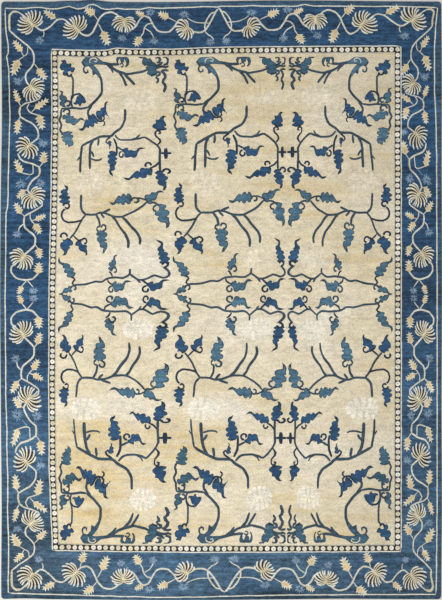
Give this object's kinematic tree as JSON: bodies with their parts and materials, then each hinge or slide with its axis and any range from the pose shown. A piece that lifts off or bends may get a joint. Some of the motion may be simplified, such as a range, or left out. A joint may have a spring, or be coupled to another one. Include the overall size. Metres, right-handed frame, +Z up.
{
  "type": "chinese wool rug",
  "caption": "Large flat hand-knotted wool pile rug, laid on the floor: a wide plain edge band, a flowering vine border, a beaded guard stripe and a field of leafy vines.",
  "frame": {"origin": "on the floor under the middle of the rug's box", "axes": "+X across the rug to its right side, +Y along its length to the head end, +Z up through the pile"},
  "size_m": [2.651, 3.6014, 0.01],
  "materials": {
    "wool_pile": "short clipped wool pile, matt with a soft sheen, worn and slightly uneven"
  },
  "bodies": {
    "root": {"rug": "wool_pile"}
  },
  "joints": []
}
